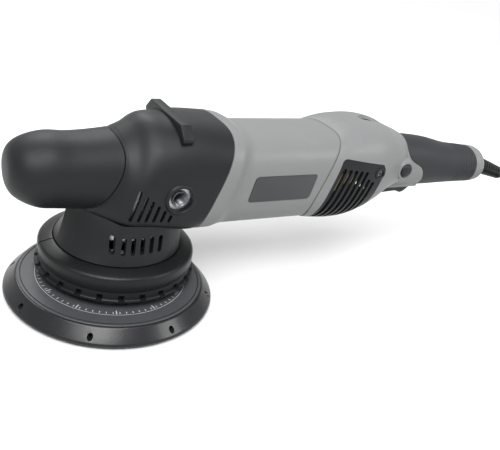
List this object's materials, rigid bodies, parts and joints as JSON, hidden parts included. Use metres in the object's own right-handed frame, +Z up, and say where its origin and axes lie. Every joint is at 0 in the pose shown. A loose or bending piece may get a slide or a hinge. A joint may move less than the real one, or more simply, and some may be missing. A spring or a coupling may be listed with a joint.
{
  "type": "dual action polisher",
  "caption": "Mains car polisher: geared head on an eccentric spindle drives a hook-faced backing plate, with a soft nose grip, trigger handle and coiled cord.",
  "frame": {"origin": "spindle axis at the face of the backing plate", "axes": "+X to the rear along the motor to the handle, +Z up along the spindle, +Y to the side that completes a right-handed frame, where side_handle_right is"},
  "size_m": [0.6555, 0.239, 0.1336],
  "materials": {
    "soft_black": "satin",
    "black_shell": "satin",
    "grey_shell": "satin",
    "grip_rubber": "satin",
    "black_rubber": "satin",
    "aluminium": "cast",
    "steel": "ground",
    "screw_steel": "blackened",
    "weight_iron": "machined",
    "copper": "bare",
    "brass": "bare",
    "carbon": "matt",
    "plate_foam": "gloss skin",
    "label_grey": "satin",
    "hook": "hooked",
    "board_green": "gloss",
    "switch_plastic": "satin",
    "plunger_red": "satin",
    "badge_dark": "satin",
    "cord_black": "satin"
  },
  "bodies": {
    "housing": {"nose_grip": "soft_black", "head_cover": "black_shell", "top_bumper": "soft_black", "skirt": "black_shell", "shroud_ring": "black_rubber", "vent_ring": "black_shell", "gear_case": "aluminium", "bearing_plate": "aluminium", "handle_inserts": "steel", "lower_spindle_bearing": "steel", "upper_spindle_bearing": "steel", "motor_housing": "grey_shell", "side_badges": "badge_dark", "field_core": "weight_iron", "field_coils": "copper", "motor_bearings": "steel", "brush_holders": "brass", "rear_housing_left": "grey_shell", "rear_housing_right": "grey_shell", "vent_cover_left": "black_shell", "vent_cover_right": "black_shell", "rear_grip": "grip_rubber", "tail_cap": "grey_shell", "switch_body": "switch_plastic", "trigger_pin": "steel", "speed_board": "board_green", "housing_screws": "screw_steel", "case_screws": "screw_steel", "cord_clamp": "switch_plastic", "strain_relief": "black_rubber", "power_cord": "cord_black", "cord_coil": "cord_black", "plug_lead": "cord_black", "plug_body": "black_rubber", "plug_pins": "brass"},
    "spindle": {"spindle": "steel", "crown_gear": "steel", "eccentric_hub": "steel", "counterweight": "weight_iron", "counterweight_screws": "screw_steel", "plate_bearings": "steel"},
    "plate": {"plate_spindle": "steel", "plate_hub": "switch_plastic", "plate_foam": "plate_foam", "plate_label": "label_grey", "hook_face": "hook", "plate_bolt": "steel"},
    "armature": {"motor_shaft": "steel", "pinion": "steel", "armature_core": "weight_iron", "armature_windings": "copper", "commutator": "copper", "motor_fan": "switch_plastic"},
    "trigger": {"trigger": "switch_plastic", "trigger_spring": "steel"},
    "switch_plunger": {"switch_plunger": "plunger_red"},
    "lock_button": {"lock_button": "switch_plastic"},
    "speed_dial": {"speed_dial": "switch_plastic"},
    "brush_left": {"brush_left": "carbon"},
    "brush_right": {"brush_right": "carbon"}
  },
  "joints": [
    {"name": "spindle_spin", "type": "hinge", "parent": "housing", "child": "spindle", "pos_m": [0, 0, 0.05], "axis": [0, 0, 1], "continuous": true},
    {"name": "plate_spin", "type": "hinge", "parent": "spindle", "child": "plate", "pos_m": [-0.00541, -0.009, 0.025], "axis": [0, 0, 1], "continuous": true},
    {"name": "armature_spin", "type": "hinge", "parent": "housing", "child": "armature", "pos_m": [0.1, 0, 0.088], "axis": [1, 0, 0], "continuous": true},
    {"name": "trigger_pull", "type": "hinge", "parent": "housing", "child": "trigger", "pos_m": [0.222, 0, 0.072], "axis": [0, -1, 0], "range_deg": [0, 4], "stiffness_Nm_per_rad": 1.5, "springref_deg": -8.59, "deforming": ["trigger_spring"]},
    {"name": "plunger_press", "type": "slide", "parent": "housing", "child": "switch_plunger", "axis": [0, 0, 1], "range_m": [0, 0.00133]},
    {"name": "lock_press", "type": "slide", "parent": "housing", "child": "lock_button", "axis": [0, 1, 0], "range_m": [0, 0.0025], "stiffness_N_per_m": 900, "springref_m": -0.001},
    {"name": "speed_turn", "type": "hinge", "parent": "housing", "child": "speed_dial", "pos_m": [0.216, 0, 0.1135], "axis": [0, 1, 0], "range_deg": [-135, 135]},
    {"name": "brush_feed_left", "type": "slide", "parent": "housing", "child": "brush_left", "axis": [0, -1, 0], "range_m": [0, 0.002], "stiffness_N_per_m": 300, "springref_m": -0.008},
    {"name": "brush_feed_right", "type": "slide", "parent": "housing", "child": "brush_right", "axis": [0, 1, 0], "range_m": [0, 0.002], "stiffness_N_per_m": 300, "springref_m": -0.008}
  ],
  "couplings": [
    {"joint": "armature_spin", "follows": "spindle_spin", "ratio": 4},
    {"joint": "plunger_press", "follows": "trigger_pull", "m_per_rad": 0.019}
  ]
}
